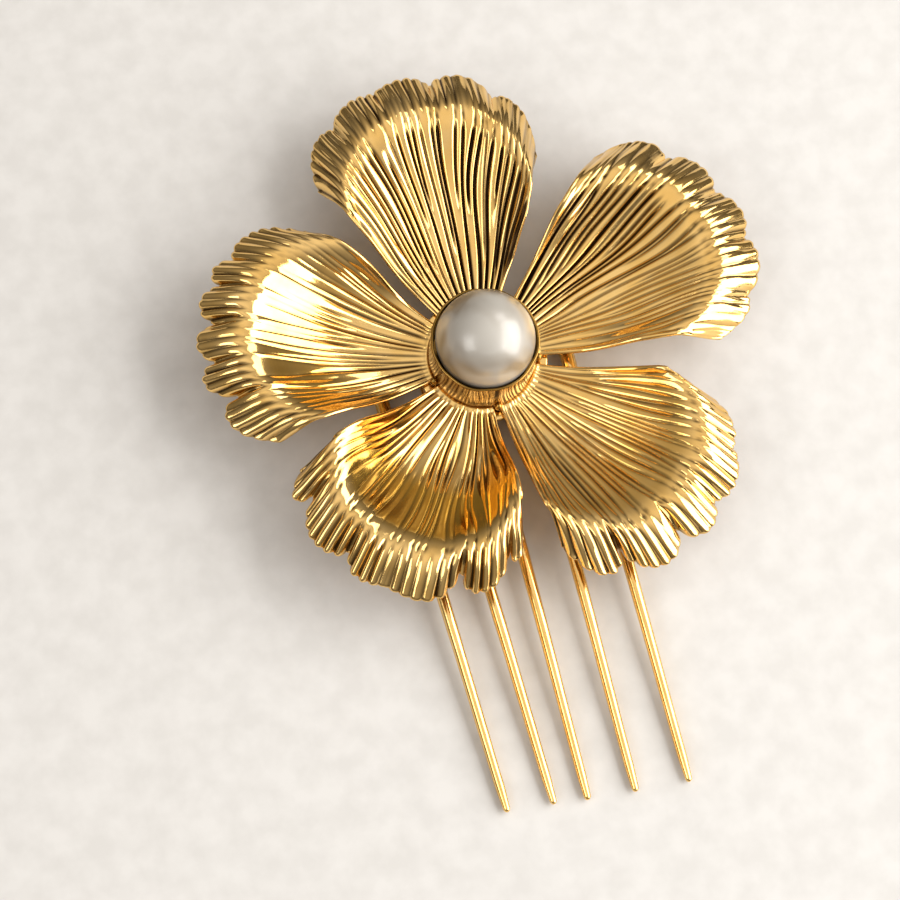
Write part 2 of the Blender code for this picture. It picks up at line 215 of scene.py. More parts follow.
# Turned pieces.
DRILL_RADIUS = 0.9 * MM  # of the holes round the peg
CUP_WALL = 0.32 * MM
CUP_FLOOR = 0.4 * MM
CUP_STEPS = 160
CUP_ROUNDING = (0.0, 0.3 * MM, 0.16 * MM, 0.14 * MM, 0.1 * MM, 0.0)  # of each corner of its outline
CUP_PIECE = 0.35 * MM  # the outline is cut into pieces of about this length
CUP_UNEVENNESS, CUP_INSET = 0.05 * MM, 0.03 * MM
BEAD_RADIUS = 0.48 * MM
BEAD_OFFSET = 0.25 * MM  # of a bead's centre outside the cup's wall
BEAD_HEIGHT = 1.0 * MM  # of a bead's centre over the cup's foot
PEARL_BANDS = 80
PEARL_STEPS = 128
PEARL_UNEVENNESS = 0.02 * MM
DISC_STEPS = 144
DISC_ROUNDING = 0.25 * MM

# Comb.
TEETH = sum(name.startswith("comb_tooth_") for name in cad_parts)
TOOTH_SIDES = 40
TOOTH_SHANK_RINGS, TOOTH_CAP_RINGS = 128, 12
CAP_END = 0.985  # share of the quarter turn that the tip's rings cover
FRAME_CAP_RINGS = 3  # the rings that round the tip in the frame
FLARE, FLARE_LENGTH = 0.35 * MM, 0.5 * MM  # braze round the tooth's root
TIP_TAPER = 3.5 * MM  # the part of a tooth that narrows to its tip
TIP_NARROWING = 0.25
TOOTH_RIPPLE, TOOTH_RIPPLE_LENGTH = 0.012, 12.0 * MM
SPINE_ROUNDING = 0.55 * MM

# Finishes. A colour drifts between deep and bright, and roughness between its two limits.
PETAL_GOLD = {
    "deep": (0.88, 0.55, 0.17), "bright": (0.94, 0.63, 0.24),
    "roughness": (0.06, 0.13), "peel": 0.003 * MM,
}
COMB_GOLD = {
    "deep": (0.92, 0.58, 0.18), "bright": (0.97, 0.65, 0.24),
    "roughness": (0.09, 0.18), "peel": 0.003 * MM,
}
# Painted shade: the cup's colour is the gold darkened to about a third, for the dark that its wall shows.
CUP_SHADED_GOLD = {
    "deep": (0.24, 0.135, 0.028), "bright": (0.38, 0.22, 0.055),
    "roughness": (0.14, 0.21), "peel": 0.004 * MM,
}
# Painted reflection: the deeper amber that the gold is painted in the band below the crest.
AMBER_REFLECTION_GOLD = (0.86, 0.45, 0.045)
# Painted shade: the near-black colour painted into the grooves and pits, and the extra roughness there.
PAINTED_GROOVE_SHADE = (0.03, 0.014, 0.005)
PAINTED_GROOVE_SHADE_DULLNESS = 0.15
CLOUD_SCALE, SMEAR_SCALE, PEEL_SCALE, MARK_SCALE = 260.0, 900.0, 1400.0, 5200.0
MARK_STRETCH = (1.0, 0.12, 1.0)
MARK_DEPTH, MARK_STRENGTH = 0.004 * MM, 0.6
NACRE_DARK, NACRE_LIGHT, NACRE_EDGES = (0.24, 0.195, 0.14), (0.43, 0.40, 0.35), (0.40, 0.56)
NACRE_CLOUD_SCALE, NACRE_LAYER_SCALE = 130.0, 700.0
NACRE_ROUGHNESS = (0.28, 0.38)
FLOOR_DARK, FLOOR_LIGHT = (0.56, 0.54, 0.51), (0.61, 0.59, 0.56)
FLOOR_SCALE, FLOOR_ROUGHNESS = 300.0, 0.7

# View, in degrees and metres.
VIEW_TILT = 17.0  # between the flower's axis and the view
VIEW_AZIMUTH = 206.0  # the side that the camera leans to, clockwise from +Y
IMAGE_UP = 15.8  # the direction that is up in the picture, clockwise from +Y
VIEW_DISTANCE = 300.0 * MM
VIEW_TARGET = FLOWER + Vector((-6.8 * MM, -10.1 * MM, 3.0 * MM))
LENS, SENSOR_WIDTH = 100.8, 36.0  # in millimetres, as Blender's cameras have them

# Lights: degrees to the right and up from the view, distance, width and height, and radiance.
LIGHTS = (
    ("window", 62.0, 6.0, 0.60, (0.54, 0.76), 5.5),
    ("top_box", 30.0, 55.0, 0.60, (0.24, 0.20), 3.0),
    ("softbox", -38.0, -14.0, 0.70, (0.30, 0.42), 3.0),
)
LIT_HEIGHT = 6.0 * MM  # of the point on the flower's axis that the lights face
# Radiance of the room by height, from 0 at the horizon to 1 overhead.
ROOM_LEVELS = ((0.01, 0.12), (0.15, 0.18), (0.35, 0.26), (0.62, 0.44), (0.84, 0.74), (0.97, 1.0))
ROOM_TINT = (1.0, 0.94, 0.88)
BACKDROP = (0.70, 0.69, 0.67)
FLOOR_SIZE = 2.0
FLOOR_GAP = 0.05 * MM  # between the floor and the lowest point


# ---------------------------------------------------------------- mesh helpers


def mesh_object(name, points, faces, material):
    """A smooth-shaded object from arrays of points and four- or three-cornered faces."""
    mesh = bpy.data.meshes.new(name)
    mesh.from_pydata(points, [], faces)
    mesh.validate()
    mesh.shade_smooth()
    obj = bpy.data.objects.new(name, mesh)
    obj.data.materials.append(material)
    bpy.context.scene.collection.objects.link(obj)
    return obj


def finish_piece(obj, slot, *nodes):
    """Fix a piece to the body, in the place of these nodes. The slot is not used."""
    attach(obj, "root")
    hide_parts(*nodes)
    return obj


def smoothstep(start, end, value):
    """0 up to the start, 1 from the end on, and a smooth rise between them."""
    t = np.clip((value - start) / (end - start), 0.0, 1.0)
    return t * t * (3.0 - 2.0 * t)


def waves(rng, count, low, high):
    """A smooth random function of two numbers, made of a few sine waves; its size is about 1."""
    frequency = rng.uniform(low, high, count)
    direction = rng.uniform(0.0, math.tau, count)
    phase = rng.uniform(0.0, math.tau, count)

    def value(x, y):
        total = 0.0
        for f, d, p in zip(frequency, direction, phase):
            total = total + np.sin(math.tau * f * (x * math.cos(d) + y * math.sin(d)) + p)
        return total / math.sqrt(count)

    return value


def tube_faces(rings, sides):
    """Quads that join rings of points, numbered ring by ring."""
    faces = []
    for ring in range(rings - 1):
        for side in range(sides):
            after = (side + 1) % sides
            low, high = ring * sides, (ring + 1) * sides
            faces.append((low + side, low + after, high + after, high + side))
    return faces


# ---------------------------------------------------------------- petals


def lobes(petal, across):
    """Depth of the notches at each place across, and an arch that is 0 at a notch and 1 in mid-lobe."""
    notches = ((-1.0, 0.0), *petal["notches"], (1.0, 0.0))
    depth = np.zeros_like(across)
    arch = np.ones_like(across)
    for (start, start_depth), (end, end_depth) in zip(notches, notches[1:]):
        share = np.clip((across - start) / (end - start), 0.0, 1.0)
        inside = (across >= start) & (across <= end)
        depth = np.where(inside, (start_depth + (end_depth - start_depth) * share) * MM, depth)
        arch = np.where(inside, (4.0 * share * (1.0 - share)) ** LOBE_POWER, arch)
    return depth, arch


def arc_radius(petal, across):
    """Distance of the outer edge from the flower axis, before it is cut into lobes."""
    drop = np.where(across < 0.0, petal["drop"][0], petal["drop"][1])
    return petal["radius"] * MM * (1.0 - drop * np.abs(across) ** DROP_POWER)


def edge_loss(petal, across):
    """What the notches and the rounded corners take off the outer edge."""
    depth, arch = lobes(petal, across)
    corner = np.clip((np.abs(across) - CORNER_START) / (1.0 - CORNER_START), 0.0, 1.0)
    rounding = np.where(across < 0.0, petal["corner"][0], petal["corner"][1]) * MM
    return depth * (1.0 - arch) + rounding * corner**CORNER_POWER


def sheet_radius(petal, across, along):
    """Distance from the flower axis; what the edge loses fades out quickly towards the root."""
    arc = PETAL_ROOT_RADIUS + (arc_radius(petal, across) - PETAL_ROOT_RADIUS) * along
    return arc - edge_loss(petal, across) * along**LOSS_POWER


def crest_measure(petal, across, along):
    """How far out a point is, where the side edges count as part of the way out."""
    weight = np.where(across < 0.0, petal["side"][0], petal["side"][1])
    side = np.abs(across) * weight * smoothstep(0.0, SIDE_FULL, along)
    return (side**3 + along**3) ** (1.0 / 3.0)


def petal_base(petal, across, along):
    """The sheet's top face before its pleats: arrays of x, y and z."""
    radius = sheet_radius(petal, across, along)
    half_angle = np.where(across < 0.0, petal["left"], petal["right"])
    bulge = 1.0 + SIDE_BULGE * np.sin(math.pi * along)
    angle = np.radians(petal["axis"] + half_angle * across * bulge)
    outness = crest_measure(petal, across, along)
    bowl = (outness / CREST) ** BOWL_POWER
    bowl = -np.log(np.exp(-CREST_SHARPNESS * bowl) + math.exp(-CREST_SHARPNESS)) / CREST_SHARPNESS
    rim = smoothstep(RIM_START, RIM_END, outness)
    height = ROOT_SLOPE_RISE * along + BOWL_RISE * petal["rise"] * bowl - RIM_FALL * rim
    x = FLOWER.x + radius * np.sin(angle)
    y = FLOWER.y + radius * np.cos(angle)
    return np.stack([x, y, PETAL_BOTTOM + PETAL_THICKNESS + height], axis=-1)


def grid_normals(points):
    """Unit normals of a grid of points, which face up."""
    step_across = np.gradient(points, axis=0)
    step_along = np.gradient(points, axis=1)
    normal = np.cross(step_across, step_along)
    normal = normal / np.linalg.norm(normal, axis=-1, keepdims=True)
    return np.where(normal[..., 2:] < 0.0, -normal, normal)


def pleats(petal, across, along, rng):
    """Relief of the ribs between sharp grooves, how deep in a groove it is as the strength of the painted
    shade there, and the pits at the crest.
    """
    spacing = 2.0 / petal["ribs"]
    half_angle = np.where(across < 0.0, petal["left"], petal["right"])
    half_width = sheet_radius(petal, across, along) * np.radians(half_angle)
    line = across + PLEAT_WANDER * waves(rng, *LINE_WAVES)(across, along)
    relief = np.zeros_like(across)
    shade = np.zeros_like(across)
    pits = np.zeros_like(across)
    outness = crest_measure(petal, across, along)
    shade_band_width = SHADE_BAND_WIDTH * np.interp(across, (-1.0, 0.0, 1.0), petal["shade_band"])
    for index in range(2 * petal["ribs"] + 1):
        main = index % 2 == 0
        place = -1.0 + spacing * (index / 2.0 + rng.uniform(-GROOVE_SHIFT, GROOVE_SHIFT))
        start = MAIN_START if main else rng.uniform(*FORK_START)
        end = LONG_END if rng.random() < LONG_SHARE else rng.uniform(*SHORT_END)
        sway = rng.uniform(*GROOVE_SWAY) * spacing
        sway_rate = rng.uniform(*SWAY_RATE)
        sway_phase = rng.uniform(0.0, math.tau)
        depth = rng.uniform(*GROOVE_STRENGTH)
        root_share = 1.0 - smoothstep(*ROOT_REACH_BAND, along)
        reach = spacing * (rng.uniform(*GROOVE_REACH) + ROOT_REACH * root_share)
        ending = smoothstep(end, end + FADE_LENGTH, along)
        growing = smoothstep(start, start + GROWTH_LENGTH, along) * (1.0 - ending)
        centre = place + sway * np.sin(math.tau * sway_rate * along + sway_phase) * along
        distance = np.abs(line - centre)
        nearness = np.clip(1.0 - distance / reach, 0.0, 1.0)
        relief = relief - depth * growing * reach * half_width * nearness**3
        crease = np.exp(-((distance * half_width / CREASE_WIDTH) ** 2))
        relief = relief - depth * growing * CREASE_DEPTH / PLEAT_DEPTH * crease
        # Painted shade: a dark band along the bottom of each groove.
        shade_band = np.exp(-((distance * half_width / shade_band_width) ** 2))
        shade = np.maximum(shade, min(depth, 1.0) * growing * shade_band)
        pit_place = PIT_PLACE + rng.uniform(-PIT_SHIFT, PIT_SHIFT)
        pit = np.exp(-((distance * half_width / PIT_WIDTH) ** 2) - ((outness - pit_place) / PIT_LENGTH) ** 2)
        pits = np.maximum(pits, min(depth, 1.0) * growing * pit)
    return relief, shade, pits


def rim_pleats(petal, across, along, rng):
    """Relief of the fine pleats that cross the rim, 0 or less, and how deep in a groove it is, as the
    strength of the painted shade there.
    """
    drift = RIM_DRIFT * waves(rng, *DRIFT_WAVES)(across, 0.2 * along)
    phase = math.pi * (petal["rim_ribs"] * (across + 1.0) / 2.0 + drift)
    uneven = RIM_STRENGTH + RIM_UNEVENNESS * waves(rng, *RIM_WAVES)(across, 0.1 * along)
    uneven = np.clip(uneven, *RIM_LIMITS) * np.interp(across, (-1.0, 0.0, 1.0), petal["rim_pleating"])
    ridge = np.abs(np.sin(phase))
    shade = np.exp(-((ridge / RIM_GROOVE_WIDTH) ** 2)) * np.clip(uneven, 0.0, 1.0)
    return (ridge**RIDGE_POWER - 1.0) * uneven, shade


def petal_relief(petal, across, along, rng):
    """What the stamp gives the sheet: its relief, how deep in a groove it is as the strength of the painted
    shade there, and nicks in its edge.
    """
    outness = crest_measure(petal, across, along)
    crest = CREST + CREST_WANDER * waves(rng, *CREST_WAVES)(across, along)
    bowl_share = 1.0 - CREST_PLEAT_LOSS * smoothstep(crest + PLEATS_WEAKEN, crest + PLEATS_CHANGE, outness)
    rim_share = smoothstep(crest + PLEATS_CHANGE, crest + RIM_PLEATS_FULL, outness)
    root_share = smoothstep(*ROOT_FADE, along)
    pleating = np.interp(across, (-1.0, 0.0, 1.0), petal["pleating"])
    depth = PLEAT_DEPTH * pleating * root_share * bowl_share
    calm_start, calm_end, calm_share = petal["calm"]
    calming = 1.0 - (1.0 - calm_share) * smoothstep(calm_start, calm_end, along)
    bowl_relief, bowl_shade, pits = pleats(petal, across, along, rng)
    pits = petal["pits"] * pits
    rim_relief, rim_shade = rim_pleats(petal, across, along, rng)
    lobe_depth, arch = lobes(petal, across)
    swelling = smoothstep(crest + LOBES_SWELL, 1.0, outness)
    swell = LOBE_SWELL * arch * np.clip(lobe_depth / MM, 0.0, 1.0) * swelling
    pleated = calming * depth * bowl_relief + RIM_PLEAT_DEPTH * rim_share * rim_relief
    relief = pleated + swell - PIT_DEPTH * pits
    shade = calming * root_share * bowl_share * bowl_shade + rim_share * rim_shade
    # The pits at the crest get painted shade too.
    shade = np.maximum(shade, pits)
    dents = DENT_DEPTH * waves(rng, *DENT_WAVES)(across, along) * smoothstep(*DENT_BAND, along)
    lip = ROOT_LIP * (1.0 - smoothstep(0.0, ROOT_LIP_LENGTH, along))
    side_roll = SIDE_ROLL * smoothstep(*SIDE_ROLL_BAND, np.abs(across))
    relief = relief + dents + lip + side_roll
    # Painted shade: how dark the grooves are painted, from the left side to the right.
    shade = np.interp(across, (-1.0, 1.0), petal["painted_shade"]) * np.clip(shade, 0.0, 1.0)
    return relief, shade, -rim_relief * along**NICK_POWER


def painted_amber_reflection(petal, across, along):
    """Painted reflection: how strongly a band below the crest is painted a deeper amber gold."""
    ending = smoothstep(*REFLECTION_BAND_END, crest_measure(petal, across, along))
    band = smoothstep(*REFLECTION_BAND_START, along) * (1.0 - ending)
    return np.interp(across, (-1.0, 1.0), petal["amber"]) * band


def store_point_values(obj, name, values):
    """Keep a grid of numbers on the sheet's top face, and half as much on its underside."""
    count = values.size
    stored = np.zeros(len(obj.data.vertices), np.float32)
    stored[:count] = values.ravel()
    stored[count : 2 * count] = 0.5 * values.ravel()
    obj.data.attributes.new(name, "FLOAT", "POINT").data.foreach_set("value", stored)


def closed_sheet(top, bottom):
    """Points and faces of the sheet between two grids of points, with a rounded edge."""
    columns, rows = top.shape[:2]
    grid = np.arange(columns * rows).reshape(columns, rows)
    corners = (grid[:-1, :-1], grid[1:, :-1], grid[1:, 1:], grid[:-1, 1:])
    top_faces = np.stack([c.ravel() for c in corners], axis=-1)
    bottom_faces = top_faces[:, ::-1] + columns * rows
    border = np.concatenate([grid[:, 0], grid[-1, 1:], grid[-2::-1, -1], grid[0, -2:0:-1]])
    upper = top.reshape(-1, 3)[border]
    lower = bottom.reshape(-1, 3)[border]
    middle = (upper + lower) / 2.0
    along_edge = np.roll(middle, -1, axis=0) - np.roll(middle, 1, axis=0)
    outward = np.cross(along_edge, upper - lower)
    outward = outward / np.linalg.norm(outward, axis=-1, keepdims=True)
    rings = [border]
    points = [top.reshape(-1, 3), bottom.reshape(-1, 3)]
    offset = 2 * columns * rows
    for step in range(1, EDGE_ROUNDING_STEPS + 1):
        turn = math.pi * step / (EDGE_ROUNDING_STEPS + 1)
        swell = outward * (PETAL_THICKNESS / 2 * math.sin(turn))
        points.append(middle + (upper - lower) / 2.0 * math.cos(turn) + swell)
        rings.append(np.arange(len(border)) + offset)
        offset += len(border)
    rings.append(border + columns * rows)
    edge_faces = []
    for near, far in zip(rings, rings[1:]):
        edge_faces.append(np.stack([near, far, np.roll(far, -1), np.roll(near, -1)], axis=-1))
    return np.concatenate(points), np.concatenate([top_faces, bottom_faces, *edge_faces])


def petal_shell(petal, material):
    """Closed sheet: a pleated top face, a fainter copy of it underneath, and a rounded edge."""
    rng = np.random.default_rng(petal["seed"])
    places_across = np.linspace(-1.0, 1.0, PETAL_COLUMNS)
    places_along = np.linspace(0.0, 1.0, PETAL_ROWS)
    across, along = np.meshgrid(places_across, places_along, indexing="ij")
    base = petal_base(petal, across, along)
    normal = grid_normals(base)
    relief, shade, nicks = petal_relief(petal, across, along, rng)
    outward = base[..., :2] - np.array(FLOWER[:2])
    outward = outward / np.linalg.norm(outward, axis=-1, keepdims=True)
    base[..., :2] -= outward * (NICK_DEPTH * nicks)[..., None]
    top = base + normal * relief[..., None]
    bottom = base - normal * (PETAL_THICKNESS - UNDERSIDE_SHARE * np.minimum(relief, 0.0))[..., None]
    bottom[..., 2] = np.maximum(bottom[..., 2], PETAL_BOTTOM + UNDERSIDE_CLEARANCE)
    points, faces = closed_sheet(top, bottom)
    obj = mesh_object(petal["name"] + "_pleated", points.tolist(), faces.tolist(), material)
    # Painted shade of the grooves and pits, for the material.
    store_point_values(obj, "groove", shade)
    # Painted reflection: the deeper amber band below the crest, for the material.
    store_point_values(obj, "painted_amber_reflection", painted_amber_reflection(petal, across, along))
    return finish_piece(obj, "petal_metal", petal["name"])


# ---------------------------------------------------------------- turned pieces


def turned(name, profile, steps, material, wobble=None):
    """Spin a (radius, z) profile round the flower's axis; it runs from pole to pole or is a closed ring."""
    points = []
    has_poles = profile[0][0] < 1e-9
    ring_profile = profile[1:-1] if has_poles else profile
    for radius, z in ring_profile:
        for step in range(steps):
            angle = math.tau * step / steps
            r = radius if wobble is None else radius + wobble(angle, z, radius)
            points.append((FLOWER.x + r * math.cos(angle), FLOWER.y + r * math.sin(angle), z))
    rings = len(ring_profile)
    faces = tube_faces(rings, steps)
    if has_poles:
        points.append((FLOWER.x, FLOWER.y, profile[0][1]))
        points.append((FLOWER.x, FLOWER.y, profile[-1][1]))
        first, last = rings * steps, rings * steps + 1
        for step in range(steps):
            after = (step + 1) % steps
            faces.append((first, after, step))
            faces.append((last, (rings - 1) * steps + step, (rings - 1) * steps + after))
    else:
        low = (rings - 1) * steps
        for step in range(steps):
            after = (step + 1) % steps
            faces.append((low + step, low + after, after, step))
    return mesh_object(name, points, faces, material)


def rounded_profile(corners, radii, steps=5):
    """A closed (r, z) outline through the corners, each rounded by its radius."""
    profile = []
    count = len(corners)
    for index, (corner, radius) in enumerate(zip(corners, radii)):
        here = Vector(corner)
        before = (Vector(corners[index - 1]) - here).normalized()
        after = (Vector(corners[(index + 1) % count]) - here).normalized()
        if radius <= 0.0:
            profile.append(tuple(here))
            continue
        for step in range(steps + 1):
            share = step / steps
            start = here + before * radius * (1.0 - share) ** 2
            profile.append(tuple(start + after * radius * share**2))
    return profile


def compass(azimuth):
    """Level direction at this many degrees clockwise from +Y."""
    return Vector((math.sin(math.radians(azimuth)), math.cos(math.radians(azimuth)), 0.0))


def make_bezel(material):
    """Thin cup with a rounded lip, a slightly uneven wall and beads of braze at its foot."""
    bottom, top = CUP_LOW.z, CUP_HIGH.z
    inner = CUP_RADIUS - CUP_WALL
    floor = bottom + CUP_FLOOR
    outer_corners = [(DRILL_RADIUS, bottom), (CUP_RADIUS, bottom), (CUP_RADIUS, top)]
    inner_corners = [(inner, top), (inner, floor), (DRILL_RADIUS, floor)]
    profile = rounded_profile(outer_corners + inner_corners, CUP_ROUNDING)
    refined = []
    for (r0, z0), (r1, z1) in zip(profile, profile[1:] + profile[:1]):
        pieces = max(1, int(math.hypot(r1 - r0, z1 - z0) / CUP_PIECE))
        for piece in range(pieces):
            share = piece / pieces
            refined.append((r0 + (r1 - r0) * share, z0 + (z1 - z0) * share))
    rng = np.random.default_rng(7)
    uneven = waves(rng, *CUP_WAVES)

    def wobble(angle, z, radius):
        if radius < inner - 0.1 * MM:
            return 0.0
        depth = uneven(3.0 * math.cos(angle), 3.0 * math.sin(angle) + z / (4.0 * MM))
        return CUP_UNEVENNESS * depth - CUP_INSET

    obj = turned("bezel_cup_formed", refined, CUP_STEPS, material, wobble)
    add_braze_beads(obj, rng)
    return finish_piece(obj, "cup_metal", "bezel_cup")


def add_braze_beads(cup, rng):
    """A small bead of braze at the cup's foot in each gap between two petals."""
    bm = bmesh.new()
    bm.from_mesh(cup.data)
    for petal, after in zip(PETALS, PETALS[1:] + PETALS[:1]):
        right_side = petal["axis"] + petal["right"]
        left_side = after["axis"] - after["left"]
        gap = (left_side - right_side) % 360.0
        middle = right_side + gap / 2.0 + rng.uniform(-0.1, 0.1) * gap
        size = BEAD_RADIUS * rng.uniform(0.85, 1.15)
        bead = bmesh.ops.create_icosphere(bm, subdivisions=3, radius=size)["verts"]
        place = compass(middle) * (CUP_RADIUS + BEAD_OFFSET) + FLOWER
        bmesh.ops.scale(bm, vec=(1.0, 1.0, rng.uniform(1.1, 1.5)), verts=bead)
        bmesh.ops.translate(bm, vec=(place.x, place.y, PETAL_BOTTOM + BEAD_HEIGHT), verts=bead)
    bm.to_mesh(cup.data)
    bm.free()
    cup.data.shade_smooth()


def make_pearl(material):
    """Pearl that is slightly off round, with its drilled hole hidden underneath."""
    centre = PEARL_HIGH.z - PEARL_RADIUS
    start = -math.acos(DRILL_RADIUS / PEARL_RADIUS)
    profile = [(0.0, centre), (DRILL_RADIUS, centre)]
    for band in range(PEARL_BANDS):
        angle = start + (math.pi / 2 - start) * band / PEARL_BANDS
        profile.append((PEARL_RADIUS * math.cos(angle), centre + PEARL_RADIUS * math.sin(angle)))
    profile.append((0.0, PEARL_HIGH.z))
    rng = np.random.default_rng(3)
    bumps = waves(rng, *PEARL_WAVES)

    def wobble(angle, z, radius):
        if radius < 1.0 * MM:
            return 0.0
        x = radius * math.cos(angle) / (3.0 * MM)
        y = radius * math.sin(angle) / (3.0 * MM) + z / (5.0 * MM)
        return PEARL_UNEVENNESS * (bumps(x, y) - 2.0) * (radius / PEARL_RADIUS)

    obj = turned("pearl_nacre", profile, PEARL_STEPS, material, wobble)
    return finish_piece(obj, "nacre", "pearl")


def make_disc(material):
    """Flat disc behind the flower, with soft edges and a hole in the middle."""
    radius = (DISC_HIGH.x - DISC_LOW.x) / 2
    lower = [(DRILL_RADIUS, DISC_LOW.z), (radius, DISC_LOW.z)]
    upper = [(radius, DISC_HIGH.z), (DRILL_RADIUS, DISC_HIGH.z)]
    profile = rounded_profile(lower + upper, (0.0, DISC_ROUNDING, DISC_ROUNDING, 0.0))
    obj = turned("backing_disc_turned", profile, DISC_STEPS, material)
    return finish_piece(obj, "comb_metal", "backing_disc")


# ---------------------------------------------------------------- comb


def make_tooth(index, material):
    """Polished rod that tapers to a rounded tip and flares where it is brazed to the spine."""
    name = f"comb_tooth_{index + 1}"
    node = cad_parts[name]
    rings = tooth_rings(node)
    rng = np.random.default_rng(100 + index)
    ripple = waves(rng, *TOOTH_WAVES)
    root, tip = rings[0], rings[-1]
    length = root[0][1] - tip[0][1]
    points = []
    table_y = np.array([-ring[0][1] for ring in rings])
    table_x = np.array([ring[0][0] for ring in rings])
    table_z = np.array([ring[0][2] for ring in rings])
    table_r = np.array([ring[1] for ring in rings])
    tip_radius = table_r[-1]
    flat = np.linspace(0.0, length - tip_radius, TOOTH_SHANK_RINGS)
    turns = np.linspace(0.0, 1.0, TOOTH_CAP_RINGS + 1)[1:] * math.pi / 2 * CAP_END
    cap = length - tip_radius + tip_radius * np.sin(turns)
    for along in np.concatenate([flat, cap]):
        y = -table_y[0] - along
        x = np.interp(-y, table_y, table_x)
        z = np.interp(-y, table_y, table_z)
        radius = np.interp(-y, table_y, table_r)
        past = (along - (length - tip_radius)) / tip_radius
        if past > 0.0:
            radius = tip_radius * math.sqrt(max(1.0 - past * past, 0.0))
        flare = FLARE * math.exp(-along / FLARE_LENGTH)
        narrowing = 1.0 - TIP_NARROWING * smoothstep(length - TIP_TAPER, length, along)
        unevenness = 1.0 + TOOTH_RIPPLE * ripple(along / TOOTH_RIPPLE_LENGTH, 0.0)
        radius = (radius + flare) * narrowing * unevenness
        for side in range(TOOTH_SIDES):
            angle = math.tau * side / TOOTH_SIDES
            height = max(z + radius * math.sin(angle), SPINE_LOW.z)
            points.append((x + radius * math.cos(angle), y, height))
    last = len(points) - TOOTH_SIDES
    faces = tube_faces(TOOTH_SHANK_RINGS + TOOTH_CAP_RINGS, TOOTH_SIDES)
    faces.append(tuple(range(TOOTH_SIDES))[::-1])
    faces.append(tuple(range(last, last + TOOTH_SIDES)))
    obj = mesh_object(name + "_rod", points, faces, material)
    return finish_piece(obj, "comb_metal", name)


def tooth_rings(node):
    """Centre and radius of the frame's rings along a tooth, from root to tip; the last is the tip itself."""
    by_place = {}
    for vert in node.data.vertices:
        by_place.setdefault(round(vert.co.y / (0.01 * MM)), []).append(vert.co)
    rings = []
    for place in sorted(by_place, reverse=True):
        ring = by_place[place]
        xs = [co.x for co in ring]
        zs = [co.z for co in ring]
        centre = ((min(xs) + max(xs)) / 2, ring[0].y, (min(zs) + max(zs)) / 2)
        rings.append((centre, (max(xs) - min(xs)) / 2))
    widest = max(radius for centre, radius in rings)
    first = next(i for i, (centre, radius) in enumerate(rings) if radius > 0.98 * widest)
    shank = rings[first:]
    end = (shank[-1][0], shank[-FRAME_CAP_RINGS - 1][1])
    return shank[:-FRAME_CAP_RINGS] + [end]


def make_spine(material):
    """Flat bar with soft edges."""
    bm = bmesh.new()
    bmesh.ops.create_cube(bm, size=1.0)
    size = SPINE_HIGH - SPINE_LOW
    centre = (SPINE_HIGH + SPINE_LOW) / 2
    bmesh.ops.scale(bm, vec=size, verts=bm.verts)
    bmesh.ops.bevel(bm, geom=bm.edges[:], offset=SPINE_ROUNDING, segments=5, profile=0.5, affect="EDGES")
    bmesh.ops.translate(bm, vec=centre, verts=bm.verts)
    mesh = bpy.data.meshes.new("comb_spine_bar")
    bm.to_mesh(mesh)
    bm.free()
    mesh.shade_smooth()
    obj = bpy.data.objects.new("comb_spine_bar", mesh)
    mesh.materials.append(material)
    bpy.context.scene.collection.objects.link(obj)
    return finish_piece(obj, "comb_metal", "comb_spine")


def dress_peg(material):
    """The frame's own peg, hidden in the pearl, with the comb's finish."""
    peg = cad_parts["pearl_peg"]
    peg.data.materials.clear()
    peg.data.materials.append(material)


# ---------------------------------------------------------------- materials


def new_material(name):
    """A material, its nodes and links, and its shader."""
    material = bpy.data.materials.new(name)
    material.use_nodes = True
    nodes = material.node_tree.nodes
    return material, nodes, material.node_tree.links, nodes["Principled BSDF"]


def noise(nodes, links, coordinates, scale, detail, stretch=None):
    """Noise texture in the object's own metres."""
    texture = nodes.new("ShaderNodeTexNoise")
    texture.inputs["Scale"].default_value = scale
    texture.inputs["Detail"].default_value = detail
    source = coordinates.outputs["Object"]
    if stretch is not None:
        mapping = nodes.new("ShaderNodeMapping")
        mapping.inputs["Scale"].default_value = stretch
        links.new(source, mapping.inputs["Vector"])
        source = mapping.outputs["Vector"]
    links.new(source, texture.inputs["Vector"])
    return texture


def ramp(nodes, links, source, low, high, start=0.35, end=0.65):
    """Colour that goes from low to high as the source goes from start to end."""
    mixer = nodes.new("ShaderNodeValToRGB")
    mixer.color_ramp.elements[0].position = start
    mixer.color_ramp.elements[0].color = (*low, 1.0)
    mixer.color_ramp.elements[1].position = end
    mixer.color_ramp.elements[1].color = (*high, 1.0)
    links.new(source, mixer.inputs["Fac"])
    return mixer


def span(nodes, links, source, low, high):
    """Number between low and high for a noise, which stays mostly between 0.3 and 0.7."""
    spread = nodes.new("ShaderNodeMapRange")
    spread.inputs["From Min"].default_value = 0.3
    spread.inputs["From Max"].default_value = 0.7
    spread.inputs["To Min"].default_value = low
    spread.inputs["To Max"].default_value = high
    links.new(source, spread.inputs["Value"])
    return spread


def add_bump(nodes, links, height, depth, strength=1.0):
    """Bump of this depth from a noise."""
    bump = nodes.new("ShaderNodeBump")
    bump.inputs["Distance"].default_value = depth
    bump.inputs["Strength"].default_value = strength
    links.new(height.outputs["Fac"], bump.inputs["Height"])
    return bump


